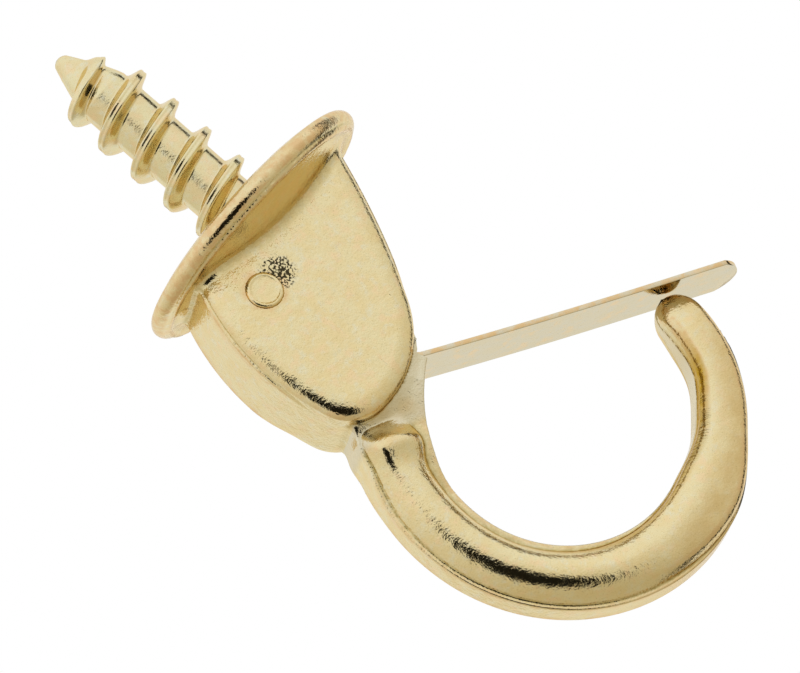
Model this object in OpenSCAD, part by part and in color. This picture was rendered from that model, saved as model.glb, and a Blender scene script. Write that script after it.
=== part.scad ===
// Safety cup hook: a plated casting with a screw stud and a spring gate
// on a cross pin that closes the bowl.
// The origin is the centre of the flange's back face.  The screw points up (+Z)
// into the shelf, the hook hangs below it, and the gate's free end is on the +X side.

/* [Mounting flange] */
// Diameter of the round flange
flange_d = 16.1; // [14.5:0.1:20]
// Thickness of the flange at its rounded rim
rim_t = 1.15; // [1:0.05:1.6]
// Set-back of the rim's top from the back face
rim_set = 0.08; // [0:0.01:0.2]
// Height that the dished underside falls from the rim to the head
dish_drop = 1.05; // [0.7:0.05:1.4]
// Diameter of the shallow recess in the back face
recess_d = 10.5; // [8:0.1:12]
// Depth of the recess in the back face
recess_depth = 0.5; // [0.3:0.05:0.8]

/* [Head] */
// Thickness of the head, across its two flat side faces
head_t = 6.0; // [5.6:0.1:7.5]
// Rounding of the edges of the side faces
head_edge_r = 0.7; // [0.3:0.05:0.9]
// Ledge around the raised side faces
ledge = 0.15; // [0.1:0.05:0.4]
// Reach of the rounded back of the head from the screw's axis
back_reach = 7.3; // [6.8:0.1:8]
// Level of that widest point below the back face
back_level = 7.7; // [7:0.1:9]
// Radius of the long curve of the back
back_r = 14.4; // [12:0.1:20]
// Radius of the rounded toe at the bottom of the back
toe_r = 2.55; // [2:0.05:3.5]
// Radius of the rounded bottom
belly_r = 6.6; // [5:0.1:8]
// Radius of the long curve of the front
front_r = 45; // [30:0.5:60]

/* [Hook arm] */
// Centre of the bowl, forward of the screw's axis
bowl_x = 2.6; // [2:0.1:3.2]
// Level of the bowl's centre below the back face
bowl_level = 20.5; // [20:0.1:21]
// Radius of the arm's centreline from the head to the bottom of the bowl
bowl_r = 9.15; // [8.8:0.05:9.6]
// Radius of the arm's centreline from the bottom of the bowl to the tip
rise_r = 10.3; // [9.8:0.05:11]
// Width of the arm in the plane of the hook, from the head to the bottom of the bowl
arm_w = 3.84; // [3.4:0.02:4.2]
// Width of the arm where it rises to the tip
rise_w = 2.95; // [2.6:0.05:3.4]
// Width of the arm at its tip
tip_w = 2.4; // [2.2:0.02:2.7]
// Thickness of the arm over its two rounded sides
arm_t = 4.3; // [3.6:0.1:4.8]
// Thickness of the arm at its tip
tip_t = 3.1; // [2.6:0.1:3.6]
// Thickness of the flat band along the arm's inner and outer edges
band_t = 1.5; // [1:0.1:2]
// Thickness of the band at the tip, where it runs out into the dome
band_tip_t = 0.8; // [0.6:0.05:1]
// Width of the band's ledge on the inner edge
band_in = 0.4; // [0.2:0.05:0.6]
// Width of the band's ledge on the outer edge
band_out = 0.18; // [0.1:0.01:0.4]
// Width of both ledges at the tip
band_tip = 0.08; // [0.05:0.01:0.15]
// Extra width of the outer edge where the arm leaves the head
root_flare = 0.3; // [0.1:0.05:0.5]
// Height of the blunt dome on the tip
tip_dome = 1.0; // [0.7:0.05:1.3]
// Lean of the tip towards the inside of the bowl
tip_lean = 0.08; // [0:0.01:0.2]
// Cut-back of the arm's inner edge at the gate's mouth
mouth_relief = 0.45; // [0.3:0.05:0.6]

/* [Gate] */
// Width of the spring strip
gate_w = 3.6; // [3:0.1:4]
// Thickness of the spring strip
gate_t = 0.3; // [0.25:0.01:0.4]
// Downward slope of the closed gate, in degrees
gate_slope = 27.3; // [25:0.1:30]
// Level where the gate's lower face would meet the screw's axis
gate_level = 12.86; // [12.4:0.02:13.2]
// Distance from the screw's axis to the start of the gate's round end, along the gate
gate_reach = 18.15; // [17:0.05:19]
// Length of the gate's round end
gate_end = 1.0; // [0.6:0.05:1.6]
// Middle radius of the bend inside the mouth of the slot
bend_r = 0.9; // [0.6:0.05:1.2]
// Distance of the bend behind the screw's axis, along the gate
bend_back = 0.45; // [0.2:0.05:0.8]
// Opening angle of the gate, in degrees
gate_open = 18; // [10:1:20]
// Gap between the closed gate and the tip of the arm
gate_gap = 0.05; // [0.03:0.01:0.2]

/* [Pin and slot] */
// Diameter of the cross pin
pin_d = 2.1; // [1.6:0.05:2.4]
// Distance of the pin behind the screw's axis
pin_x = 3.9; // [3.5:0.05:4.4]
// Level of the pin below the back face
pin_level = 4.3; // [4.1:0.05:4.8]
// Height that each end of the pin stands proud of the head
pin_proud = 0.12; // [0.05:0.01:0.25]
// Radial running clearance between the pin and the gate's eye
pin_clear = 0.05; // [0.03:0.01:0.08]
// Clearance on each side of the gate in the slot
slot_side = 0.1; // [0.05:0.01:0.15]
// Clearance over and behind the gate in the slot
slot_clear = 0.15; // [0.1:0.01:0.25]

/* [Screw] */
// Diameter over the thread
screw_d = 4.72; // [4.2:0.02:5]
// Diameter of the shank and of the thread's root
screw_root_d = 3.26; // [2.8:0.02:3.5]
// Pitch of the thread
screw_pitch = 2.4; // [2:0.1:2.8]
// Length of the screw above the back face
screw_len = 13.5; // [12:0.1:15]
// Length of the tapered point
point_len = 3.3; // [2.5:0.1:4]
// Width of the chisel-cut end
point_w = 0.65; // [0.4:0.05:1]
// Width of a thread ridge at its foot
ridge_foot = 1.15; // [0.8:0.05:1.4]
// Width of a thread ridge at its top
ridge_top = 0.3; // [0.2:0.05:0.5]
// Depth of the plain shank in the head
screw_embed = 3.4; // [2.5:0.1:3.6]

/* [Hidden] */
brass = "#e4d0a0";
brass_pale = "#e0d6b8";
$fn = 64;

function unit(a) = [cos(a), sin(a)];

// ---- head outline: four tangent arcs in the plane of the hook ----
// Direction of the normal where each arc hands over to the next one
back_toe_a = 195;
toe_belly_a = 266;
belly_front_a = 329;
head_top = -rim_t / 2;
back_c = [back_r - back_reach, -back_level];
toe_c = back_c + (back_r - toe_r) * unit(back_toe_a);
belly_c = toe_c - (belly_r - toe_r) * unit(toe_belly_a);
front_c = belly_c - (front_r - belly_r) * unit(belly_front_a);
top_back_a = 180 - asin((head_top - back_c[1]) / back_r);
front_top_a = 360 + asin((head_top - front_c[1]) / front_r);

function arc(c, r, a0, a1, n) = [for (i = [0 : n]) c + r * unit(a0 + (a1 - a0) * i / n)];

// Outline of the side faces, grown by g; it closes inside the flange.
function head_outline(g) = concat(
    arc(back_c, back_r + g, top_back_a, back_toe_a, 5),
    arc(toe_c, toe_r + g, back_toe_a + 6, toe_belly_a, 9),
    arc(belly_c, belly_r + g, toe_belly_a + 4, belly_front_a, 9),
    arc(front_c, front_r + g, belly_front_a + 2, front_top_a, 7));

// ---- arm: two tangent arcs, and how its section changes with the angle round the bowl ----
bowl_c = [bowl_x, -bowl_level];
mouth_a = 110;
neck_a = 120;
bar_start_a = 138;
bar_full_a = 142;
root_end_a = 151;
band_thin_a = 168;
bottom_a = 277;
thin_a = 285;
rise_a = 311;
tip_a = 330;
tip_guess_a = 354;
rise_c = bowl_c - (rise_r - bowl_r) * unit(bottom_a);
neck_t = head_t - 2 * head_edge_r;
arm_steps = 58;
tip_steps = 5;
side_n = 7;

// ---- gate: the straight outer leg, its bend and the leg to the pin's eye ----
gate_dir = unit(-gate_slope);
gate_up = unit(90 - gate_slope);
gate_low = [0, -gate_level];
pin_c = [-pin_x, -pin_level];
eye_in = pin_d / 2 + pin_clear;
eye_out = eye_in + gate_t;
bend_pt = gate_low + gate_t / 2 * gate_up - bend_back * gate_dir;
bend_v = bend_pt - pin_c;
leg_a = atan2(bend_v[1], bend_v[0]) - asin((eye_out - gate_t / 2) / norm(bend_v));
leg_len = sqrt(norm(bend_v) * norm(bend_v) - pow(eye_out - gate_t / 2, 2));
bend_a = -gate_slope - leg_a;
bend_cut = bend_r * tan(bend_a / 2);

function ramp(x, x0, x1) = min(1, max(0, (x - x0) / (x1 - x0)));
function mix(a, b, t) = a + (b - a) * t;
function smooth(x, x0, x1) = let (t = ramp(x, x0, x1)) t * t * (3 - 2 * t);

// A flat band with a rounded bar on each side.  First coordinate outward from the arc's
// centre, second across the hook: outer and inner half width, width of the outer and inner
// ledge, and half thickness of the band and of the bars.
function section(wo, wi, lo, li, h, b) =
    let (s0 = asin(h / b), mid = ((wo - lo) - (wi - li)) / 2, bar_w = (wo - lo + wi - li) / 2,
         side = [for (i = [0 : side_n]) let (s = mix(s0, 180 - s0, i / side_n))
             [mid + bar_w * cos(s) / cos(s0), b * sin(s)]])
    concat([[wo, -h], [wo, h]], side, [[-wi, h], [-wi, -h]],
           [for (i = [side_n : -1 : 0]) [side[i][0], -side[i][1]]]);

function place(a, p) =
    let (q = a < bottom_a ? bowl_c + (bowl_r + p[0]) * unit(a) : rise_c + (rise_r + p[0]) * unit(a))
    [q[0], p[1], q[1]];

// Ring of the blunt dome on the tip; f goes from 0 to 90 degrees.
tip_r = tip_w / 2;
function tip_ring(a, f) =
    [for (p = section(tip_r, tip_r, band_tip, band_tip, band_tip_t / 2, tip_t / 2))
        place(a, cos(f) * p - [tip_lean, 0])
        + tip_dome * sin(f) * [cos(a + 90), 0, sin(a + 90)]];

// The arm ends at the angle where its dome lies gate_gap under the closed gate.
function tip_high(a) = max([for (i = [0 : tip_steps - 1]) for (p = tip_ring(a, 90 * i / tip_steps))
    ([p[0], p[2]] - gate_low) * gate_up]);
function seek(a, n) = n == 0 ? a
    : seek(a - (tip_high(a) + gate_gap) / (rise_r * PI / 180 * (unit(a + 90) * gate_up)), n - 1);
end_a = seek(tip_guess_a, 4);

function half_w(a) =
    mix(mix(arm_w, rise_w, smooth(a, thin_a, rise_a)), tip_w, smooth(a, tip_a, end_a)) / 2;
function outer_w(a) = half_w(a) + root_flare * (1 - smooth(a, bar_full_a, root_end_a));
function inner_w(a) = half_w(a) - mouth_relief * (1 - ramp(a, mouth_a, root_end_a));
function bar_h(a) = mix(arm_t, tip_t, smooth(a, bottom_a, end_a)) / 2
    * mix(0.5, 1, ramp(a, bar_start_a, bar_full_a));
function band_h(a) = a < bar_start_a
    ? mix(neck_t / 2, band_t, smooth(a, neck_a, bar_start_a))
    : mix(mix(band_t, band_t / 2, smooth(a, bar_start_a, band_thin_a)),
          band_tip_t / 2, smooth(a, tip_a, end_a));
function arm_section(a) =
    let (h = band_h(a), t = smooth(a, tip_a, end_a))
    section(outer_w(a), inner_w(a), mix(band_out, band_tip, t), mix(band_in, band_tip, t),
            h, max(bar_h(a), h + 0.05));

module flange() {
    rim_r = rim_t / 2;
    rim_x = flange_d / 2 - rim_r;
    dish_z = -rim_set - rim_t - dish_drop;
    rotate_extrude($fn = 96) difference() {
        union() {
            translate([rim_x, -rim_set - rim_r]) circle(rim_r, $fn = 32);
            polygon([[0, 0], [rim_x - rim_r, 0], [rim_x, -rim_set], [rim_x, -rim_set - rim_t],
                     [head_t / 2, dish_z], [0, dish_z]]);
        }
        translate([0, -recess_depth]) square([recess_d / 2, 2 * recess_depth]);
    }
}

// Raised side faces with rounded edges, and the ledge round them.
module head() {
    steps = 3;
    rotate([90, 0, 0]) hull() for (i = [0 : steps]) {
        a = 90 * i / steps;
        t = head_t - 2 * head_edge_r * (1 - sin(a));
        linear_extrude(t, center = true) polygon(head_outline(-head_edge_r * (1 - cos(a))));
    }
    rotate([90, 0, 0]) linear_extrude(neck_t, center = true) polygon(head_outline(ledge));
}

module arm() {
    rings = concat(
        [for (i = [0 : arm_steps])
            let (a = mix(mouth_a, end_a, i / arm_steps), lean = tip_lean * smooth(a, rise_a, end_a))
            [for (p = arm_section(a)) place(a, p - [lean, 0])]],
        [for (i = [1 : tip_steps - 1]) tip_ring(end_a, 90 * i / tip_steps)]);
    n = len(rings[0]);
    m = len(rings);
    apex = place(end_a, [-tip_lean, 0]) + tip_dome * [cos(end_a + 90), 0, sin(end_a + 90)];
    faces = concat(
        [[for (j = [0 : n - 1]) j]],
        [for (i = [0 : m - 2]) for (j = [0 : n - 1])
            let (k = (j + 1) % n) each [[i * n + j, (i + 1) * n + j, (i + 1) * n + k],
                                        [i * n + j, (i + 1) * n + k, i * n + k]]],
        [for (j = [0 : n - 1]) [(m - 1) * n + j, m * n, (m - 1) * n + (j + 1) % n]]);
    polyhedron(concat([for (r = rings) each r], [apex]), faces);
}

// The space in which the gate swings, open to the bowl side of the head.
module slot() {
    top_a = leg_a + gate_open;
    reach = leg_len * 1.3;
    out = bowl_x + 1;
    back_pt = pin_c + (eye_in - slot_clear) * unit(leg_a + 90);
    low_pt = gate_low - slot_clear * gate_up - (bend_back + bend_cut) * gate_dir;
    back_low = back_pt + unit(leg_a) * (leg_len - bend_cut);
    top_pt = pin_c + (eye_out + slot_clear) * unit(top_a + 90);
    rotate([90, 0, 0]) linear_extrude(gate_w + 2 * slot_side, center = true) {
        translate(pin_c) circle(eye_out + slot_clear);
        polygon([pin_c, back_pt, back_low, low_pt, gate_low - slot_clear * gate_up + out * gate_dir,
                 top_pt + reach * unit(top_a), top_pt]);
    }
}

module body() {
    color(brass) difference() {
        union() {
            flange();
            head();
            arm();
        }
        slot();
        translate([-pin_x, 0, -pin_level]) rotate([90, 0, 0])
            cylinder(d = pin_d, h = 2 * head_t, center = true);
        translate([0, 0, -screw_embed]) cylinder(d = screw_root_d, h = screw_embed + 1);
    }
}

// Thread height at turn angle a and level z, from a ridge that fades towards the point.
function ridge(a, z) =
    let (u = (z / screw_pitch - a / 360), d = abs(u - round(u)) * screw_pitch,
         top = ridge_top / 2, foot = ridge_foot / 2)
    (screw_d - screw_root_d) / 2 * ramp(-d, -foot, -top);
function core_r(z) = mix(screw_root_d / 2, point_w / 2, pow(ramp(z, screw_len - point_len, screw_len), 1.25));
function fade(z) = 1 - ramp(z, screw_len - 0.75 * point_len, screw_len - 0.25 * point_len);

module screw() {
    rows = 66;
    cols = 30;
    z0 = 0.15; // level where the thread starts, just clear of the back face
    shank_r = screw_root_d / 2;
    pts = concat([for (i = [0 : rows]) let (z = mix(z0, screw_len, i / rows)) for (j = [0 : cols - 1])
        let (a = 360 * j / cols, r = core_r(z) + ridge(a, z) * fade(z)) [r * cos(a), r * sin(a), z]]);
    faces = concat(
        [[for (j = [0 : cols - 1]) j]],
        [for (i = [0 : rows - 1]) for (j = [0 : cols - 1])
            let (k = (j + 1) % cols) each [[i * cols + j, (i + 1) * cols + j, (i + 1) * cols + k],
                                           [i * cols + j, (i + 1) * cols + k, i * cols + k]]],
        [[for (j = [cols - 1 : -1 : 0]) rows * cols + j]]);
    color(brass) {
        polyhedron(pts, faces);
        translate([0, 0, -screw_embed]) {
            cylinder(r = shank_r, h = screw_embed - z0);
            cylinder(r = shank_r * cos(180 / cols), h = screw_embed + 2 * z0);
        }
    }
}

// Spring strip: an eye round the pin, a leg down the slot, a bend and the gate itself.
module gate() {
    flat_len = gate_reach + bend_back;
    end_r = (gate_w * gate_w / 4 + gate_end * gate_end) / (2 * gate_end);
    bend_c = bend_pt - bend_cut * unit(leg_a) + bend_r * unit(leg_a + 90);
    leg_foot = pin_c + (eye_in + gate_t / 2) * unit(leg_a + 90);
    tip = bend_pt + (flat_len + gate_end) * gate_dir;
    half = gate_t / 2;
    strip = concat(
        [leg_foot + half * unit(leg_a + 90), leg_foot - half * unit(leg_a + 90)],
        arc(bend_c, bend_r + half, leg_a - 90, -90 - gate_slope, 8),
        [tip - half * gate_up, tip + half * gate_up],
        arc(bend_c, bend_r - half, -90 - gate_slope, leg_a - 90, 8));
    color(brass_pale) difference() {
        rotate([90, 0, 0]) linear_extrude(gate_w, center = true) difference() {
            union() {
                translate(pin_c) circle(eye_out);
                polygon(strip);
            }
            translate(pin_c) circle(eye_in);
        }
        translate([bend_pt[0], 0, bend_pt[1]]) rotate([0, gate_slope, 0])
            translate([flat_len, 0, -gate_w / 2]) linear_extrude(gate_w) difference() {
                translate([0, -gate_w]) square([2 * gate_end, 2 * gate_w]);
                translate([gate_end - end_r, 0]) circle(end_r);
            }
    }
}

module pin() {
    len = head_t / 2 + pin_proud;
    r = pin_d / 2;
    color(brass_pale) translate([-pin_x, 0, -pin_level]) rotate([90, 0, 0]) rotate_extrude($fn = 48)
        polygon([[0, -len], [r - 0.25, -len], [r, -len + 0.2], [r, len - 0.2], [r - 0.25, len], [0, len]]);
}

body();
screw();
gate();
pin();
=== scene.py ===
# Safety cup hook: a brass-plated casting with a screw stud in its flange and a spring
# strip on a cross pin that closes the bowl.  Sizes are in millimetres, with X from the
# pin's side to the tip of the arm and Z up the screw.  A value ending in _a is an angle
# in degrees.

from math import asin, atan2, cos, degrees, hypot, pi, radians, sin, tan

import bmesh
import bpy
import numpy as np
from mathutils import Matrix, Vector


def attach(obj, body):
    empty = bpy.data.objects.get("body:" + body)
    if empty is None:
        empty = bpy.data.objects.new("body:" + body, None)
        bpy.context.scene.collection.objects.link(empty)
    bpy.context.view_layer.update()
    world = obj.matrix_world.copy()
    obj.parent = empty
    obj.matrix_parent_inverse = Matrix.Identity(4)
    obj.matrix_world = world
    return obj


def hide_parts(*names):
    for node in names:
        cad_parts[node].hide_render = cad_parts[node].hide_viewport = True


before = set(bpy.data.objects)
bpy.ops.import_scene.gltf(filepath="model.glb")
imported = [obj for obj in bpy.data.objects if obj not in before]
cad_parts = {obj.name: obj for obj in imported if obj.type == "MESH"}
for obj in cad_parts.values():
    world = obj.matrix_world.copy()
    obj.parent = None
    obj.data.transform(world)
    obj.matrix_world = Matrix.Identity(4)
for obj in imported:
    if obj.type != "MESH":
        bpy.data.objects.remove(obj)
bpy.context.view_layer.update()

# ---------------------------------------------------------------- body casting
# The body is one zinc die casting: the round flange, the thick head with its raised side
# faces, and the arm that sweeps round the bowl.  It is tumbled smooth and brass plated.

MM = 0.001


def unit(a):
    return np.array([cos(radians(a)), sin(radians(a))])


def ramp(x, x0, x1):
    return np.clip((x - x0) / (x1 - x0), 0.0, 1.0)


def ease(x, x0, x1):
    t = ramp(x, x0, x1)
    return t * t * (3 - 2 * t)


def weld(a, b, r):
    """Joins two forms with a fillet of about radius r."""
    h = np.maximum(r - np.abs(a - b), 0.0) / r
    return np.minimum(a, b) - h * h * r / 4


def cut(a, b, r):
    """Takes form b out of form a and eases the edge by about r."""
    return -weld(-a, b, r)


def slab(d, y, half, r, squeeze=1.0):
    """A plate with outline distance d and half thickness half, its edges rounded by r."""
    a, b = d * squeeze + r, np.abs(y) - half + r
    return np.hypot(np.maximum(a, 0), np.maximum(b, 0)) + np.minimum(np.maximum(a, b), 0) - r


# the flange: a rolled rim with a small lip, a dished underside and a recess round the stud
flange_r, rim_r, rim_set = 8.03, 0.535, 0.17
dish_drop, recess_r, recess_depth, web_in = 1.05, 5.25, 0.5, 0.1
lip_r, lip_in, lip_up, lip_least = 0.22, 0.1, 0.04, 0.3
lip_weld, rim_weld, recess_ease = 0.5, 0.07, 0.15


def flange_form(p):
    r, z = np.hypot(p[:, 0], p[:, 1]), p[:, 2]
    rim_x = flange_r - rim_r
    bead = np.hypot(r - rim_x, z + rim_set + rim_r) - rim_r
    slope = dish_drop / (rim_x - head_half)
    under = (-(z + rim_set + 2 * rim_r - web_in) - (rim_x - r) * slope) / hypot(1, slope)
    top = z + rim_set * ramp(r, rim_x - rim_r, rim_x)
    disc = np.maximum(np.maximum(under, top), r - rim_x)
    hollow = np.maximum(r - recess_r, -(z + recess_depth))

    # the lip is full on the two sides and slighter over the gate and the back
    full = lip_least + (1 - lip_least) * ease(np.abs(p[:, 1]) / (r + 0.01), 0.25, 0.8)
    lip = np.hypot(r - rim_x + lip_in, z + rim_set + 2 * rim_r - lip_up) - lip_r * full
    return cut(weld(bead, weld(disc, lip, lip_weld), rim_weld), hollow, recess_ease)


# the head: raised side faces with rolled edges, the far one rounder, and a plate between
head_top, head_half = 1.0, 3.0
edge_r, edge_wide, far_edge_r, far_edge_wide = 0.7, 1.15, 1.2, 2.6
ledge, toe_ledge, mouth_ledge = 0.15, -0.1, 0.25
ledge_half, toe_half, plate_edge, toe_edge = 2.25, 2.0, 0.12, 0.5
toe_high, toe_low, mouth_x = 7.5, 12.5, 4
back_reach, back_level, back_r = 7.3, 7.7, 14.4
toe_r, belly_r, front_r = 2.55, 6.6, 45.0
back_toe_a, toe_belly_a, belly_front_a = 195, 266, 329

back_c = np.array([back_r - back_reach, -back_level])
toe_c = back_c + (back_r - toe_r) * unit(back_toe_a)
belly_c = toe_c - (belly_r - toe_r) * unit(toe_belly_a)
front_c = belly_c - (front_r - belly_r) * unit(belly_front_a)


def face_outline(x, z):
    """Distance from the outline of the raised side faces, four arcs that meet smoothly."""

    def arc(c, r):
        return np.hypot(x - c[0], z - c[1]) - r

    def past(c, a):
        u = unit(a)
        return u[0] * (z - c[1]) > u[1] * (x - c[0])

    front = np.where(past(belly_c, belly_front_a), arc(front_c, front_r), arc(belly_c, belly_r))
    back = np.where(past(toe_c, back_toe_a), arc(toe_c, toe_r), arc(back_c, back_r))
    return np.where(x > (belly_c + belly_r * unit(toe_belly_a))[0], front, back)


def head_forms(p):
    """The raised side faces, and the plainer plate between them."""
    x, y, z = p.T
    d = face_outline(x, z)
    r, wide = np.where(y < 0, edge_r, far_edge_r), np.where(y < 0, edge_wide, far_edge_wide)
    face = slab(d, y, head_half, r, r / wide)
    low = ease(-z, toe_high, toe_low)
    half = ledge_half + (toe_half - ledge_half) * low
    reach = ledge + low * (toe_ledge - ledge + (mouth_ledge - toe_ledge) * ease(x, 0, mouth_x))
    plate = slab(d - reach, y, half, plate_edge + (toe_edge - plate_edge) * low)
    return np.maximum(face, z + head_top), np.maximum(plate, z + head_top)


# the arm: its middle line, and how wide and thick it is along the bowl
bowl_x, bowl_level, bowl_r, rise_r = 2.6, 20.5, 9.15, 10.3
bottom_a, thin_a, rise_a, tip_a, end_a, taper_a = 277, 285, 311, 330, 349.7, 352.5
arm_w, rise_w, tip_w, arm_t, tip_t = 3.84, 2.9, 2.75, 4.3, 3.1
tip_waist, waist_wide, root_flare, mouth_relief, relief_power = 0.22, 10, 0.3, 0.8, 1.5
tip_dome, tip_slope, slope_a = 1.5, 3.2, 340.3
bowl_lean, rise_lean, tip_lean = 0.09, 0.09, -0.02
lean_a, full_lean_a, rise_lean_a, rise_lean_wide = 145, 185, 302, 18

bowl_c = np.array([bowl_x, -bowl_level])
rise_c = bowl_c - (rise_r - bowl_r) * unit(bottom_a)


def turn(c, x, z):
    """Angle of a point round c, from 90 up to 450 degrees."""
    return np.mod(np.degrees(np.arctan2(z - c[1], x - c[0])) - 90, 360) + 90


def arm_place(p):
    """Angle along the arm, distance outwards from its middle line, and that line's radius."""
    x, z = p[:, 0], p[:, 2]
    up = turn(bowl_c, x, z) > bottom_a
    a = np.where(up, turn(rise_c, x, z), turn(bowl_c, x, z))
    mid_r = np.where(up, rise_r, bowl_r)
    to_rise, to_bowl = (np.hypot(x - c[0], z - c[1]) for c in (rise_c, bowl_c))
    lean = bowl_lean * ease(a, lean_a, full_lean_a)
    lean = lean + (tip_lean - bowl_lean) * ease(a, rise_a, end_a)
    lean = lean + rise_lean * np.exp(-(((a - rise_lean_a) / rise_lean_wide) ** 2))
    return a, np.where(up, to_rise, to_bowl) - mid_r + lean, mid_r


# its flat band, and the ledges that show on both sides of the bar
band_t, band_tip_t, neck_half, band_edge, mouth_round = 1.5, 0.8, 2.05, 0.1, 0.9
mouth_a, neck_a, bar_a, bar_full_a, root_end_a, band_thin_a = 104, 120, 138, 142, 151, 168
ledge_in_left, ledge_in_right = 0.4, 0.06
ledge_out_left, ledge_out_low, ledge_out_tip = 0.16, 0.05, 0.16
ledge_in_a, ledge_in_full_a = 200, 285
ledge_fall_a, ledge_low_a, ledge_rise_a, ledge_tip_a = 255, 290, 318, 345


def arm_sizes(a):
    """Outer and inner half widths, outer and inner ledges, and half thickness of the band."""
    near_tip = ease(a, tip_a, taper_a)
    half = arm_w + (rise_w - arm_w) * ease(a, thin_a, rise_a)
    half = (half + (tip_w - half) * near_tip) / 2
    outer = half + root_flare * (1 - ease(a, bar_full_a, root_end_a))
    inner = half - mouth_relief * (1 - ramp(a, mouth_a, root_end_a)) ** relief_power
    inner = inner - tip_waist * np.exp(-(((a - tip_a) / waist_wide) ** 2))
    falls, rises = ease(a, ledge_fall_a, ledge_low_a), ease(a, ledge_rise_a, ledge_tip_a)
    ledge_out = ledge_out_left + (ledge_out_low - ledge_out_left) * falls
    ledge_out = ledge_out + (ledge_out_tip - ledge_out_low) * rises
    falls = ease(a, ledge_in_a, ledge_in_full_a)
    ledge_in = ledge_in_left + (ledge_in_right - ledge_in_left) * falls
    thick = neck_half + (band_t - neck_half) * ramp(a, neck_a, bar_a)
    thick = thick - band_t / 2 * ease(a, bar_a, band_thin_a)
    thick = thick + (band_tip_t / 2 - thick) * near_tip
    return outer, inner, ledge_out, ledge_in, thick


# its half-round bars, which start with a slight hump and turn flatter towards the tip
bar_begin_a, bar_rise_a, bar_slant, bar_rise_power = 132.5, 14.5, 2.9, 1.8
bar_hump, hump_a, hump_wide, start_in, bar_sunk = 0.6, 145.0, 5.2, 0.6, 0.25
crest_start, crest_right, crest_a, crest_mid_a = 0.6, -0.3, 143, 165
flatter_a, flattest_a = 235, 305
flat_share, flat_crown, flat_edge = 0.85, 0.1, 0.55


def rounded_end(past, reach):
    return np.sqrt(np.clip(1 - (np.maximum(past, 0) / reach) ** 2, 1e-4, 1))


def arm_forms(p):
    """The flat band that runs round the bowl, and the half-round bars on its sides."""
    y = p[:, 1]
    a, out, mid_r = arm_place(p)
    outer, inner, ledge_out, ledge_in, thick = arm_sizes(a)
    past = (a - end_a) * mid_r * pi / 180
    dome = rounded_end(past, tip_dome)
    fall = rounded_end((a - slope_a) * mid_r * pi / 180, tip_slope)

    # the flat band, thick at the mouth and thin along the bowl
    d = np.abs(out - (outer - inner) / 2) - (outer + inner) / 2 * dome
    band = slab(d, y, thick * fall, band_edge)

    # the bar on each side: half round at first, flatter on top towards the tip
    deep = (arm_t + (tip_t - arm_t) * ease(a, bottom_a, end_a)) / 2
    start = np.clip((a - bar_begin_a - bar_slant * out) / bar_rise_a, 0, 1)
    hump = bar_hump * np.exp(-(((a - hump_a) / hump_wide) ** 2))
    top = thick - 0.1 + (deep + hump - thick + 0.1) * (1 - (1 - start) ** bar_rise_power)
    foot = (thick - bar_sunk) * (1 - ease(a, bar_full_a, root_end_a + 10))
    tall = (top - foot) * fall
    inset = ledge_in + start_in * (1 - ease(a, bar_begin_a, bar_full_a + 4))
    wide = (outer - ledge_out + inner - inset) / 2 * dome
    u = (out - (outer - ledge_out - inner + inset) / 2) / wide
    flatter = ease(a, flatter_a, flattest_a)
    crest = crest_start * (1 - ease(a, crest_a, crest_mid_a)) + crest_right * flatter
    side = np.where(u > crest, (u - crest) / (1 - crest), (crest - u) / (1 + crest))
    w = np.maximum(np.abs(y) - foot * fall, 0) / tall
    g = np.sqrt(side * side + w * w) + 1e-9
    bar = g * (g - 1) / np.sqrt((side / wide) ** 2 + (w / tall) ** 2 + 1e-9)
    flat_top = (foot * fall + tall) * (1 - flat_crown * (u - crest) ** 2)
    flat = slab((np.abs(u) - 1) * wide, y, flat_top, flat_edge)
    bar = bar + (flat - bar) * flat_share * flatter

    mouth = (mouth_a - a) * bowl_r * pi / 180
    tip = np.where(a > end_a, past - tip_dome, -9)
    band = np.maximum(-weld(-band, -mouth, mouth_round), tip)
    return band, np.maximum(bar, np.maximum(mouth, tip))


# the bores, and the slot with the strip that swings in it
pin_x, pin_level, pin_r, shank_r, shank_depth = 3.9, 4.3, 1.05, 1.63, 3.4
gate_w, gate_t, gate_slope, gate_level = 3.6, 0.3, 27.3, 12.86
gate_open, bend_r, bend_back, pin_clear = 18, 0.9, 0.45, 0.05
slot_clear, slot_side = 0.15, 0.06

# the strip's path: a straight leg from the pin, a bend, then the gate itself
pin_c = np.array([-pin_x, -pin_level])
eye_in = pin_r + pin_clear
eye_out = eye_in + gate_t
gate_dir, gate_up = unit(-gate_slope), unit(90 - gate_slope)
gate_low = np.array([0, -gate_level])
bend_pt = gate_low + gate_t / 2 * gate_up - bend_back * gate_dir
to_bend = bend_pt - pin_c
leg_a = degrees(atan2(to_bend[1], to_bend[0]) - asin((eye_out - gate_t / 2) / hypot(*to_bend)))
leg_len = (to_bend @ to_bend - (eye_out - gate_t / 2) ** 2) ** 0.5
bend_cut = bend_r * tan(radians((-gate_slope - leg_a) / 2))


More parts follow.
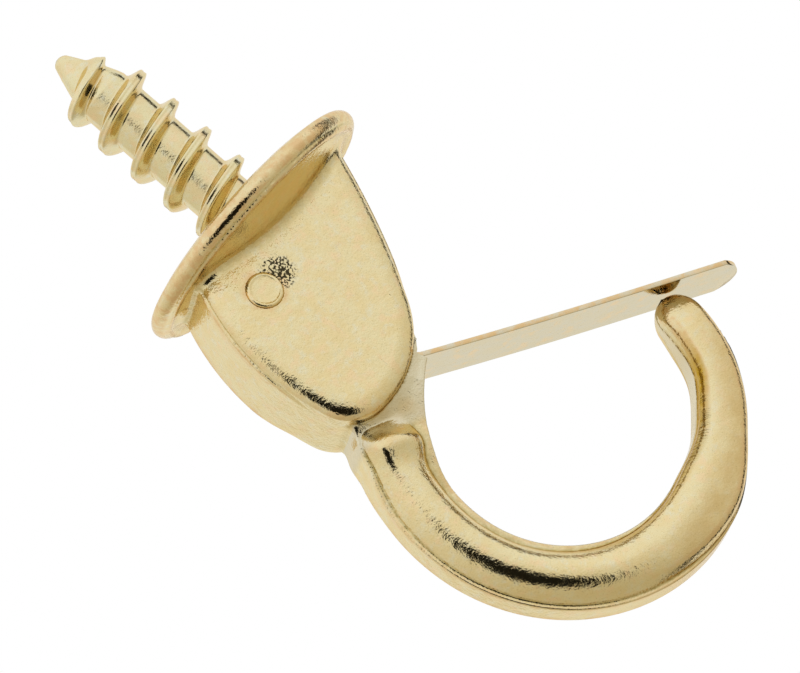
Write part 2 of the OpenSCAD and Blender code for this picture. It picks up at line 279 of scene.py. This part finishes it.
def slot_form(p):
    """The space in the head in which the strip swings."""
    y, q = p[:, 1], p[:, [0, 2]]
    behind = pin_c + (eye_in - slot_clear) * unit(leg_a + 90)
    back_low = behind + unit(leg_a) * (leg_len - bend_cut)
    under = gate_low - slot_clear * gate_up
    chord = under - (bend_back - bend_cut) * gate_dir - back_low
    top_a = leg_a + gate_open
    sides = [
        (behind, -unit(leg_a + 90)),
        (under, -gate_up),
        (back_low, np.array([chord[1], -chord[0]]) / hypot(*chord)),
        (pin_c + (eye_out + slot_clear) * unit(top_a + 90), unit(top_a + 90)),
        (pin_c, -unit(leg_a + gate_open / 2)),
        (gate_low + (bowl_x + 1) * gate_dir, gate_dir),
    ]
    wedge = np.maximum.reduce([(q - c) @ n for c, n in sides])
    eye = np.hypot(*(q - pin_c).T) - eye_out - slot_clear
    return np.maximum(np.minimum(wedge, eye), np.abs(y) - gate_w / 2 - slot_side)


# fillets where the forms meet, and the eased edges of slot and bores
neck_weld, bar_weld, face_weld, flange_weld = 1.0, 0.08, 0.07, 0.6
slot_ease, bore_ease, shank_ease = 0.06, 0.04, 0.02


def casting_form(p):
    """Signed distance, in millimetres, from the skin of the casting."""
    face, plate = head_forms(p)
    band, bar = arm_forms(p)
    f = weld(weld(plate, band, neck_weld), bar, bar_weld)
    f = weld(f, face, face_weld)
    f = weld(f, flange_form(p), flange_weld)
    f = cut(f, slot_form(p), slot_ease)
    f = cut(f, np.hypot(p[:, 0] + pin_x, p[:, 2] + pin_level) - pin_r, bore_ease)
    shank = np.maximum(np.hypot(p[:, 0], p[:, 1]) - shank_r, -(p[:, 2] + shank_depth))
    return cut(f, shank, shank_ease)


def slope_of(form, p, step=0.008):
    """Form value, unit normal and steepness at each point."""
    value, g = form(p), np.zeros_like(p)
    for k in range(3):
        o = np.zeros(3)
        o[k] = step
        g[:, k] = form(p + o) - form(p - o)
    size = np.linalg.norm(g, axis=1)
    return value, g / (size[:, None] + 1e-9), size / (2 * step)


def settle(form, p, turns, reach=0.12):
    """Moves points on to the form's skin, by at most reach a turn."""
    for _ in range(turns):
        value, n, size = slope_of(form, p)
        step = np.clip(value / np.maximum(size, 0.3), -reach, reach)
        p = p - n * step[:, None]
    return p


def bend_of(form, p, n, reach=0.22):
    """How convex (above 0) or hollow (below 0) the skin is round each point."""
    sideways = np.where(np.abs(n[:, 1:2]) > 0.7, np.array([[1.0, 0, 0]]), np.array([[0, 1.0, 0]]))
    one = np.cross(n, sideways)
    one /= np.linalg.norm(one, axis=1)[:, None]
    two = np.cross(n, one)
    return sum(form(p + reach * t) for t in (one, -one, two, -two)) / (4 * reach)


def points_of(mesh):
    co = np.zeros(len(mesh.vertices) * 3)
    mesh.vertices.foreach_get("co", co)
    return co.reshape(-1, 3) / MM


def put_points(mesh, p):
    mesh.vertices.foreach_set("co", (p * MM).ravel())
    mesh.update()


def shade_smooth(mesh):
    mesh.polygons.foreach_set("use_smooth", [True] * len(mesh.polygons))


def add_piece(name, mesh):
    piece = bpy.data.objects.new(name, mesh)
    bpy.context.scene.collection.objects.link(piece)
    return piece


def shaped(piece):
    """Applies the piece's modifiers and returns its new mesh."""
    graph = bpy.context.evaluated_depsgraph_get()
    mesh = bpy.data.meshes.new_from_object(piece.evaluated_get(graph))
    piece.modifiers.clear()
    piece.data = mesh
    return mesh


# the dark smudge beside the pin, the painted shade line at the band's foot, and the neck's reach
smudge_x, smudge_z, smudge_r = -2.55, -4.1, 0.9
line_up, line_r, neck_reach = 0.12, 0.28, 2.4


def casting_marks(p, n):
    """How much painted edge sheen, painted shade and reflection, stain and dark smudge each point
    gets, from 0 to 1.
    """
    a, out, _ = arm_place(p)
    outer, _, ledge_out, _, thick = arm_sizes(a)
    height = np.abs(p[:, 1])
    bend = bend_of(casting_form, p, n)
    inwards = -n[:, 0] * np.cos(np.radians(a)) - n[:, 2] * np.sin(np.radians(a))
    on_arm = a < 380

    # the bowl's inner wall gets a painted pale grey reflection, and the foot of the bar beside it
    # painted amber shade
    in_bowl = (out < 0) * (np.abs(out) < 3) * ease(a, 112, 125)
    wall = in_bowl * ramp(inwards, 0.4, 0.7) * ramp(thick - height, -0.03, 0.05)
    wall = wall * (1 - 0.5 * ease(a, 325, 345))
    in_foot = in_bowl * ramp(inwards, 0.2, 0.4) * (1 - wall) * (1 - ramp(height, 1.5, 1.8))
    in_foot = in_foot * ease(a, 150, 280) * ease(-a, -352, -325)
    # painted shade: a dark line in the crease at the outer foot of the bar
    out_foot = (out - outer + ledge_out) ** 2 + (height - thick - line_up) ** 2

    # the neck gets a painted grey reflection up to the start of the bar, and two faint stains
    bar_start = (a - bar_begin_a - bar_slant * out) / bar_rise_a
    near = np.abs(out) < neck_reach
    neck = ease(a, 100, 106) * (1 - ramp(bar_start, 0.4, 0.6)) * near * (a < 160)
    neck = neck * ramp(neck_reach - height, 0, 0.1)
    stain = np.exp(-(((a - 131) / 4) ** 2) - ((out + 0.6) / 0.6) ** 2)
    stain = stain + np.exp(-(((a - 134) / 3) ** 2) - ((out - 1.0) / 1.0) ** 2)
    no_sheen = np.exp(-(((bar_start - 1) / 0.6) ** 2)) * near * (a < 165)
    # painted sheen: convex edges are tinted peach, less so where the bar starts
    edge_sheen = ramp(bend, 0.045, 0.1) * (1 - 0.6 * ramp(bend, 0.13, 0.22))

    from_smudge = np.hypot(p[:, 0] - smudge_x, p[:, 2] - smudge_z) / smudge_r
    return {
        "edge_sheen_and_wear": edge_sheen * (1 - wall) * (1 - 0.7 * no_sheen),
        # painted shade: olive in hollows and along the neck
        "hollow": np.maximum(ramp(-bend, 0.01, 0.2), 0.45 * neck * ease(out, -1.5, 0.5)),
        "pin_smudge": np.exp(-(from_smudge**2)) * (p[:, 1] < 0),
        # painted shade: the outer side of the bowl's bottom is darker and warmer
        "buff_shade": ease(a, 225, 290) * ease(out, -1.0, 0.7) * on_arm,
        # painted reflection: the pale bowl wall and the grey neck
        "grey_reflection": np.maximum(wall, 0.7 * neck),
        # painted shade at the bar's foot, and two faint stains on the neck
        "amber_shade_and_stain": in_foot + 0.4 * neck * stain,
        "crease_shade": np.exp(-out_foot / line_r**2) * ease(a, 283, 293) * on_arm,
    }


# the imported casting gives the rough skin, which is settled on to the finished form
voxel, longest, most_triangles = 0.085, 0.5, 120000
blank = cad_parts["body"].data.copy()
blank.materials.clear()
body = add_piece("body_casting", blank)
skin = body.modifiers.new("skin", "REMESH")
skin.mode, skin.voxel_size = "VOXEL", voxel * MM
shaped(body)
put_points(body.data, settle(casting_form, points_of(body.data), 3))
triangles = sum(len(f.vertices) - 2 for f in body.data.polygons)
if triangles > most_triangles:
    thin_out = body.modifiers.new("thin", "DECIMATE")
    thin_out.ratio = most_triangles / triangles
    shaped(body)

# long triangles are split, so that the marks stay sharp, and pinched edges are closed
work = bmesh.new()
work.from_mesh(body.data)
for _ in range(3):
    long_edges = [e for e in work.edges if e.calc_length() > longest * MM]
    bmesh.ops.subdivide_edges(work, edges=long_edges, cuts=1)
    bmesh.ops.triangulate(work, faces=[f for f in work.faces if len(f.verts) > 3])
for _ in range(4):
    pinched = [e for e in work.edges if len(e.link_faces) != 2]
    bmesh.ops.collapse(work, edges=pinched)
    bmesh.ops.dissolve_degenerate(work, edges=work.edges, dist=0.001 * MM)
bmesh.ops.triangulate(work, faces=[f for f in work.faces if len(f.verts) > 3])
work.to_mesh(body.data)
work.free()

body_points = settle(casting_form, points_of(body.data), 3)
put_points(body.data, body_points)
shade_smooth(body.data)
_, body_normals, _ = slope_of(casting_form, body_points)
body.data.normals_split_custom_set_from_vertices(body_normals.tolist())
for name, value in casting_marks(body_points, body_normals).items():
    mark = body.data.attributes.new(name, "FLOAT", "POINT")
    mark.data.foreach_set("value", value.astype(np.float32))


def feed(tree, value, socket):
    """Wires a value into a socket, or sets it there where it is a colour or a number."""
    if isinstance(value, tuple):
        socket.default_value = (*value, 1)
    elif isinstance(value, float):
        socket.default_value = value
    else:
        tree.links.new(value, socket)


def maths(tree, kind, a, b):
    node = tree.nodes.new("ShaderNodeMath")
    node.operation = kind
    feed(tree, a, node.inputs[0])
    feed(tree, b, node.inputs[1])
    return node.outputs[0]


def between(tree, value, low, high, least=0.0, most=1.0):
    """Rises smoothly from least, where value is low, to most, where it is high."""
    node = tree.nodes.new("ShaderNodeMapRange")
    node.interpolation_type = "SMOOTHSTEP"
    tree.links.new(value, node.inputs["Value"])
    ends = {"From Min": low, "From Max": high, "To Min": least, "To Max": most}
    for socket, number in ends.items():
        node.inputs[socket].default_value = number
    return node.outputs["Result"]


def blend(tree, amount, a, b):
    """Lays colour b over colour a.  Sockets 6 and 7 are the Mix node's two colours."""
    node = tree.nodes.new("ShaderNodeMix")
    node.data_type = "RGBA"
    tree.links.new(amount, node.inputs["Factor"])
    feed(tree, a, node.inputs[6])
    feed(tree, b, node.inputs[7])
    return node.outputs[2]


def plating(name, colour, warm, pale, rough, peel):
    """Brass plating: warm and pale clouds, painted peach sheen on edges, painted olive shade in
    hollows and an orange peel.
    """
    mat = bpy.data.materials.new(name)
    mat.use_nodes = True
    tree = mat.node_tree
    shader = tree.nodes["Principled BSDF"]
    shader.inputs["Metallic"].default_value = 1.0
    shader.inputs["Specular Tint"].default_value = (*edge_tint, 1)
    place = tree.nodes.new("ShaderNodeTexCoord")

    def noise(size, detail, shift):
        """Noise whose blotches are about size millimetres across."""
        node = tree.nodes.new("ShaderNodeTexNoise")
        move = tree.nodes.new("ShaderNodeMapping")
        move.inputs["Location"].default_value = (shift, shift, shift)
        move.inputs["Rotation"].default_value = (0.7, 0.5 + shift, 1.1)
        tree.links.new(place.outputs["Object"], move.inputs["Vector"])
        tree.links.new(move.outputs["Vector"], node.inputs["Vector"])
        node.inputs["Scale"].default_value = 1 / (size * MM)
        node.inputs["Detail"].default_value = detail
        node.inputs["Roughness"].default_value = 0.55
        return node.outputs["Fac"]

    def clouds(size, detail, shift, low, high, least=0.0, most=1.0):
        """Noise that goes from least to most as it rises from low to high."""
        return between(tree, noise(size, detail, shift), low, high, least, most)

    def mark(word):
        node = tree.nodes.new("ShaderNodeAttribute")
        node.attribute_name = word
        return node.outputs["Fac"]

    def broken(word, *cloud):
        """A mark, broken up by clouds."""
        return maths(tree, "MULTIPLY", mark(word), clouds(*cloud))

    # each colour is laid over the ones before it, where its clouds or its mark say
    layers = [
        (clouds(1.3, 4, 0.0, 0.4, 0.64), warm),
        (clouds(0.5, 5, 0.31, 0.48, 0.72), pale),
        (clouds(0.11, 3, 0.17, 0.44, 0.74, 0.0, 0.6), warm),
        (clouds(0.7, 5, 0.62, 0.5, 0.7, 0.0, 0.6), rosy),
        # painted shade: buff on the outer side of the bowl's bottom
        (broken("buff_shade", 1.7, 4, 0.23, 0.3, 0.62, 0.25, 0.9), buff_shade),
        (clouds(0.075, 2, 0.44, 0.56, 0.8, 0.0, 0.5), olive),
        # painted sheen: peach on convex edges, and on the strip's side edges
        (broken("edge_sheen_and_wear", 0.6, 5, 0.7, 0.36, 0.62, 0.15, 1.0), peach),
        # painted shade: olive in hollows and along the neck
        (broken("hollow", 0.35, 4, 0.8, 0.3, 0.6, 0.4, 1.0), olive),
        # painted reflection: grey on the bowl's inner wall and the neck
        (mark("grey_reflection"), grey_reflection),
        # painted shade: amber at the bar's foot, with two faint stains on the neck
        (broken("amber_shade_and_stain", 0.3, 4, 0.1, 0.3, 0.6, 0.8, 1.0), amber_shade_and_stain),
        # painted shade: a near-black line in the crease at the band's foot
        (between(tree, broken("crease_shade", 0.25, 4, 0.9, 0.22, 0.45), 0.12, 0.4), near_black),
        # a near-black ragged smudge beside the pin
        (between(tree, broken("pin_smudge", 0.13, 4, 0.6, 0.4, 0.62), 0.17, 0.36), near_black),
    ]
    tone = colour
    for amount, over in layers:
        tone = blend(tree, amount, tone, over)
    tree.links.new(tone, shader.inputs["Base Color"])
    tree.links.new(clouds(0.7, 4, 0.5, 0.35, 0.7, rough, rough * 1.9), shader.inputs["Roughness"])

    # the orange peel: three sizes of bump, each a share of peel deep
    before = None
    for size, share, shift in ((0.9, 1.2, 0.07), (0.34, 0.75, 0.4), (0.12, 0.6, 0.9)):
        bump = tree.nodes.new("ShaderNodeBump")
        bump.inputs["Strength"].default_value = 1.0
        bump.inputs["Distance"].default_value = peel * share * MM
        tree.links.new(noise(size, 2, shift), bump.inputs["Height"])
        if before:
            tree.links.new(before, bump.inputs["Normal"])
        before = bump.outputs["Normal"]
    tree.links.new(before, shader.inputs["Normal"])
    return mat


edge_tint = (0.97, 0.86, 0.66)
peach, olive, buff_shade = (0.74, 0.52, 0.27), (0.42, 0.33, 0.12), (0.68, 0.51, 0.24)
grey_reflection, amber_shade_and_stain, rosy = (0.70, 0.66, 0.52), (0.48, 0.28, 0.012), (0.86, 0.64, 0.38)
near_black = (0.05, 0.04, 0.02)
cast_plating = plating(
    "cast_plating", (0.80, 0.70, 0.42), (0.80, 0.66, 0.36), (0.78, 0.72, 0.50), 0.09, 0.028
)
body.data.materials.append(cast_plating)
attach(body, "root")
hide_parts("body")

# ---------------------------------------------------------------------- screw
# A steel stud cast into the flange, with a right-handed rolled wood thread.  Rolling
# folds a fine seam into the crest, and the point is pinched off and slightly flat.

screw_d, screw_root_d, screw_pitch, screw_len = 4.88, 3.26, 2.4, 13.5
point_len, point_w, point_aside, point_flat, point_power = 3.3, 0.78, 0.17, 0.22, 1.25
ridge_foot, ridge_top, ridge_soft, ridge_crown, ridge_begin = 1.15, 0.3, 0.09, 0.06, 0.15
seam_deep, seam_half = 0.05, 0.045
screw_foot = -recess_depth - 0.1
rows_a_turn, screw_cols = 44, 112


def core(z):
    """Radius of the stud without its thread."""
    taper = ramp(z, screw_len - point_len, screw_len) ** point_power
    return screw_root_d / 2 + (point_w - screw_root_d) / 2 * taper


def ridge(z, turned):
    """Height of the thread above its root, with rounded shoulders and a seam in the crest."""
    u = z / screw_pitch - turned
    d = np.abs(u - np.round(u)) * screw_pitch
    tall = (screw_d - screw_root_d) / 2
    side = ramp(ridge_foot / 2 - d, 0, (ridge_foot - ridge_top) / 2)
    side = side - ridge_soft * np.sin(2 * pi * side)
    crest = tall * side * (1 - ridge_crown * (d / ridge_top * 2) ** 2 * (d < ridge_top / 2))
    seam = seam_deep * np.exp(-((d / seam_half) ** 2))
    fade = 1 - ramp(z, screw_len - 0.75 * point_len, screw_len - 0.25 * point_len)
    return (crest - seam * side) * fade * ramp(z, 0, ridge_begin)


def face_out(mesh, join=0.0):
    """Joins points less than join metres apart, turns the faces outwards, shades them smooth."""
    work = bmesh.new()
    work.from_mesh(mesh)
    if join:
        bmesh.ops.remove_doubles(work, verts=work.verts, dist=join)
    bmesh.ops.recalc_face_normals(work, faces=work.faces)
    work.to_mesh(mesh)
    work.free()
    shade_smooth(mesh)


row_count = int((screw_len - screw_foot) / screw_pitch * rows_a_turn) + rows_a_turn
k, j = np.meshgrid(np.arange(-rows_a_turn, row_count), np.arange(screw_cols), indexing="ij")
z = np.clip((k / rows_a_turn + j / screw_cols) * screw_pitch + screw_foot, screw_foot, screw_len)
turned = j / screw_cols
on_point = ramp(z, screw_len - point_len, screw_len)
tip_flat = 1 - point_flat * on_point * np.cos(2 * pi * (turned - 0.1)) ** 2
tip_round = np.sqrt(1 - ramp(z, screw_len - 0.25, screw_len + 0.02) ** 2)
r = core(z) * tip_flat * tip_round + ridge(z, turned)
aside = point_aside * on_point
x, y = r * np.cos(2 * pi * turned) - aside, r * np.sin(2 * pi * turned) + aside / 2
verts = np.stack([x, y, z], -1).reshape(-1, 3)
rows = k.shape[0]
faces = []
for row in range(rows - 1):
    for col in range(screw_cols):
        other, lift = col + 1, 0
        if other == screw_cols:
            other, lift = 0, rows_a_turn
        quad = [(row, col), (row + lift, other), (row + 1 + lift, other), (row + 1, col)]
        if row + 1 + lift < rows:
            faces.append([a * screw_cols + b for a, b in quad])
thread = bpy.data.meshes.new("screw_thread")
thread.from_pydata((verts * MM).tolist(), [], faces)
work = bmesh.new()
work.from_mesh(thread)
bmesh.ops.remove_doubles(work, verts=work.verts, dist=2e-7)
bmesh.ops.dissolve_degenerate(work, edges=work.edges, dist=2e-7)
loose = [v for v in work.verts if not v.link_faces]
bmesh.ops.delete(work, geom=loose, context="VERTS")
bmesh.ops.holes_fill(work, edges=[e for e in work.edges if e.is_boundary], sides=0)
work.to_mesh(thread)
work.free()
face_out(thread)
screw = add_piece("wood_screw", thread)
screw_plating = plating(
    "screw_plating", (0.78, 0.71, 0.44), (0.78, 0.65, 0.38), (0.76, 0.73, 0.54), 0.12, 0.012
)
thread.materials.append(screw_plating)
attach(screw, "root")
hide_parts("screw")

# ------------------------------------------------------------------ cross pin
# A plain rivet pressed through the head.  Its ends stand a little proud, with a rolled
# edge and a slightly sunk middle.

pin_proud, pin_edge, pin_sides = 0.12, 0.16, 72
half_len = head_half + pin_proud


def turned_piece(name, profile, sides):
    """Turns a profile of (radius, height) round its axis."""
    mesh = bpy.data.meshes.new(name)
    ring = np.array([[cos(2 * pi * i / sides), sin(2 * pi * i / sides)] for i in range(sides)])
    points, quads = [], []
    for radius, height in profile:
        points += [(radius * c * MM, radius * s * MM, height * MM) for c, s in ring]
    for row in range(len(profile) - 1):
        for i in range(sides):
            n, low, high = (i + 1) % sides, row * sides, (row + 1) * sides
            quads.append([low + i, low + n, high + n, high + i])
    mesh.from_pydata(points, [], quads)
    face_out(mesh, join=1e-7)
    return mesh


end = [(0.0, -0.045), (0.45, -0.045), (0.7, -0.042), (0.8, -0.03)]
end += [
    (pin_r - pin_edge + pin_edge * sin(radians(a)), pin_edge * (cos(radians(a)) - 1))
    for a in range(-20, 91, 10)
]
profile = [(radius, half_len + drop) for radius, drop in end]
profile += [(radius, -height) for radius, height in reversed(profile)]
pin_mesh = turned_piece("cross_pin", profile, pin_sides)
pin_place = Matrix.Translation((-pin_x * MM, 0, -pin_level * MM))
pin_mesh.transform(pin_place @ Matrix.Rotation(pi / 2, 4, "X"))
pin = add_piece("cross_pin", pin_mesh)
pin_mesh.materials.append(cast_plating)
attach(pin, "root")
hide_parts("pin")

# ----------------------------------------------------------------------- gate
# One strip of spring steel, sheared from a coil: an eye rolled round the pin, a leg down
# the slot, a bend in the mouth and the straight gate that rests on the tip of the arm.

gate_reach, gate_end, end_half = 18.15, 1.0, 0.05
gate_bow, bow_share, bow_most = 0.08, 0.87, 1.15
strip_edge, eye_turn = 0.05, 340
eye_steps, bend_steps, flat_steps, end_steps = 48, 12, 24, 14
flat_len = gate_reach + bend_back
end_r = (gate_w**2 / 4 + gate_end**2) / (2 * gate_end)


def arc_points(c, r, a0, a1, count):
    return [c + r * unit(a0 + (a1 - a0) * i / count) for i in range(count + 1)]


eye_mid = eye_in + gate_t / 2
bend_c = bend_pt - bend_cut * unit(leg_a) + bend_r * unit(leg_a + 90)
path = arc_points(pin_c, eye_mid, leg_a + 90 + eye_turn, leg_a + 90, eye_steps)
path += arc_points(bend_c, bend_r, leg_a - 90, -90 - gate_slope, bend_steps)
curved = len(path)
lengths = [bend_cut + (flat_len - bend_cut) * i / flat_steps for i in range(1, flat_steps + 1)]
lengths += [flat_len + gate_end * sin(radians(90 * i / end_steps)) for i in range(1, end_steps + 1)]
for s in lengths:
    bow = gate_bow * sin(pi * min(s / (bow_share * flat_len), bow_most))
    path.append(bend_pt + s * gate_dir - bow * gate_up)
path = np.array(path)
along = np.gradient(path, axis=0)
along /= np.linalg.norm(along, axis=1)[:, None]
side_of = np.stack([-along[:, 1], along[:, 0]], 1)

# its cross-section has four rounded corners, and its width follows the rounded free end
corners = []
for cy, cz, a0 in ((1, 1, 0), (-1, 1, 90), (-1, -1, 180), (1, -1, 270)):
    for i in range(4):
        corners.append((cy, cz, *unit(a0 + 30 * i)))
strip_points, strip_faces, sheared = [], [], []
for n, (centre, normal) in enumerate(zip(path, side_of)):
    reach = max((centre - bend_pt) @ gate_dir - flat_len, 0) if n >= curved else 0
    wide = gate_w / 2
    if reach > 0:
        wide = (max(end_r**2 - (end_r - gate_end + reach) ** 2, 0)) ** 0.5
    wide = max(min(wide, gate_w / 2), end_half)
    for cy, cz, u, w in corners:
        y = cy * max(wide - strip_edge, 0) + strip_edge * u * min(1, wide / strip_edge)
        h = cz * (gate_t / 2 - strip_edge) + strip_edge * w
        x, z = centre + h * normal
        strip_points.append((x * MM, y * MM, z * MM))
        sheared.append(abs(u) ** 6)
m = len(corners)
for low in range(0, (len(path) - 1) * m, m):
    for i in range(m):
        n, high = (i + 1) % m, low + m
        strip_faces.append([low + i, low + n, high + n, high + i])
strip_faces.append(list(range(m)))
strip_faces.append([(len(path) - 1) * m + i for i in reversed(range(m))])
strip = bpy.data.meshes.new("spring_gate")
strip.from_pydata(strip_points, [], strip_faces)
face_out(strip)
# the strip's side edges get the peach edge tone, partly wear of the sheared edges and partly
# painted sheen
strip.attributes.new("edge_sheen_and_wear", "FLOAT", "POINT").data.foreach_set("value", sheared)
gate = add_piece("spring_gate", strip)
strip_plating = plating(
    "strip_plating", (0.69, 0.65, 0.51), (0.70, 0.64, 0.47), (0.67, 0.65, 0.54), 0.07, 0.003
)
strip.materials.append(strip_plating)
keep_edges = gate.modifiers.new("edges", "WEIGHTED_NORMAL")
keep_edges.keep_sharp = False
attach(gate, "gate")
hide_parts("gate")

# --------------------------------------------------------------------- studio
# A white tent.  It is dark only at the opening that the lens looks through, and in a gap
# that runs up the right-hand side behind the hook.

view_azimuth, view_elevation, view_roll = -25.1, -8.62, 49.0
view_distance, view_width = 600.0, 43.715847
look_right, look_up = 0.662, -10.77
opening_wide, opening_tall, opening_aside, opening_drop = 0.52, 0.435, 0.075, 0.215
tent_top, tent_middle, tent_low = (1.0, 1.0, 0.99), (0.80, 0.76, 0.66), (0.58, 0.52, 0.38)
tent_back = (0.94, 0.97, 1.04)
tent_dark = (0.012, 0.011, 0.008)
gap_a, tent_top_a = 15, 55
floor_half, floor_level = 3000, -160

azimuth, rise = radians(view_azimuth), radians(view_elevation)
towards = Vector((sin(azimuth) * cos(rise), -cos(azimuth) * cos(rise), sin(rise)))
across = Vector((cos(azimuth), sin(azimuth), 0))
above = towards.cross(across)
roll = Matrix.Rotation(radians(view_roll), 3, towards)
right, upward = roll.transposed() @ across, roll.transposed() @ above
aim = across * look_right + above * look_up

camera = bpy.data.objects.new("camera", bpy.data.cameras.new("camera"))
bpy.context.scene.collection.objects.link(camera)
camera.data.sensor_width = 36
camera.data.lens = 36 * view_distance / view_width
camera.data.clip_start, camera.data.clip_end = 0.01, 50
axes = Matrix((right, upward, towards)).transposed().to_4x4()
camera.matrix_world = Matrix.Translation((aim + towards * view_distance) * MM) @ axes
bpy.context.scene.camera = camera

world = bpy.data.worlds.new("tent")
bpy.context.scene.world = world
world.use_nodes = True
tent = world.node_tree
heading = tent.nodes.new("ShaderNodeTexCoord").outputs["Generated"]
path_kind = tent.nodes.new("ShaderNodeLightPath")


def times(a, b):
    return maths(tent, "MULTIPLY", a, b)


def leaning(direction, shift=0.0):
    """How far each spot of the tent lies towards a direction, less a shift."""
    dot = tent.nodes.new("ShaderNodeVectorMath")
    dot.operation = "DOT_PRODUCT"
    tent.links.new(heading, dot.inputs[0])
    dot.inputs[1].default_value = direction
    return maths(tent, "SUBTRACT", dot.outputs["Value"], shift)


def leans(direction, low, high):
    """Rises from 0 to 1 as the tent lies more towards a direction."""
    return between(tent, leaning(direction), low, high)


# the lens opening is an oval round the camera, and the dark gap a band behind the hook
aside = leaning(right / opening_wide, opening_aside / opening_wide)
below = leaning(-upward / opening_tall, opening_drop / opening_tall)
spread = maths(tent, "ADD", times(aside, aside), times(below, below))
opening = times(leans(towards, 0.0, 0.1), between(tent, spread, 1.12, 0.88))
gap_side = (right * cos(radians(gap_a)) + upward * sin(radians(gap_a))).normalized()
gap = times(leans(-towards, 0.3, 0.37), leans(-towards, 0.6, 0.52))
gap = times(gap, leans(gap_side, 0.35, 0.5))

# the tent is darker low down, bright on top and cooler behind the hook
top_side = upward * sin(radians(tent_top_a)) - right * cos(radians(tent_top_a))
top_side = top_side.normalized()
shade = blend(tent, leans(top_side, -1.0, 0.05), tent_low, tent_middle)
shade = blend(tent, leans(top_side, -0.1, 0.7), shade, tent_top)
shade = blend(tent, leans(-towards, 0.42, 0.66), shade, tent_back)
shade = blend(tent, opening, shade, tent_dark)
seen = blend(tent, gap, shade, tent_dark)
seen = blend(tent, path_kind.outputs["Is Camera Ray"], seen, (1.0, 1.0, 1.0))
sky = tent.nodes["Background"]
tent.links.new(seen, sky.inputs["Color"])
sky.inputs["Strength"].default_value = 1.0

# white paper under the hook, plain white to the camera and unseen in the plating
floor_mesh = bpy.data.meshes.new("floor")
floor_corners = [
    (x * floor_half * MM, y * floor_half * MM, floor_level * MM)
    for x, y in ((-1, -1), (1, -1), (1, 1), (-1, 1))
]
floor_mesh.from_pydata(floor_corners, [], [[0, 1, 2, 3]])
floor = add_piece("floor", floor_mesh)
paper_white = bpy.data.materials.new("floor_paper")
paper_white.use_nodes = True
paper = paper_white.node_tree
paper_shader = paper.nodes["Principled BSDF"]
paper_shader.inputs["Base Color"].default_value = (0.9, 0.9, 0.9, 1)
paper_shader.inputs["Roughness"].default_value = 0.9
glow = paper.nodes.new("ShaderNodeEmission")
glow.inputs["Color"].default_value = (1, 1, 1, 1)
kind = paper.nodes.new("ShaderNodeLightPath")
choose = paper.nodes.new("ShaderNodeMixShader")
paper.links.new(kind.outputs["Is Camera Ray"], choose.inputs[0])
paper.links.new(paper_shader.outputs[0], choose.inputs[1])
paper.links.new(glow.outputs[0], choose.inputs[2])
paper.links.new(choose.outputs[0], paper.nodes["Material Output"].inputs["Surface"])
floor_mesh.materials.append(paper_white)
floor.visible_glossy = False

bpy.context.scene.view_settings.view_transform = "Standard"
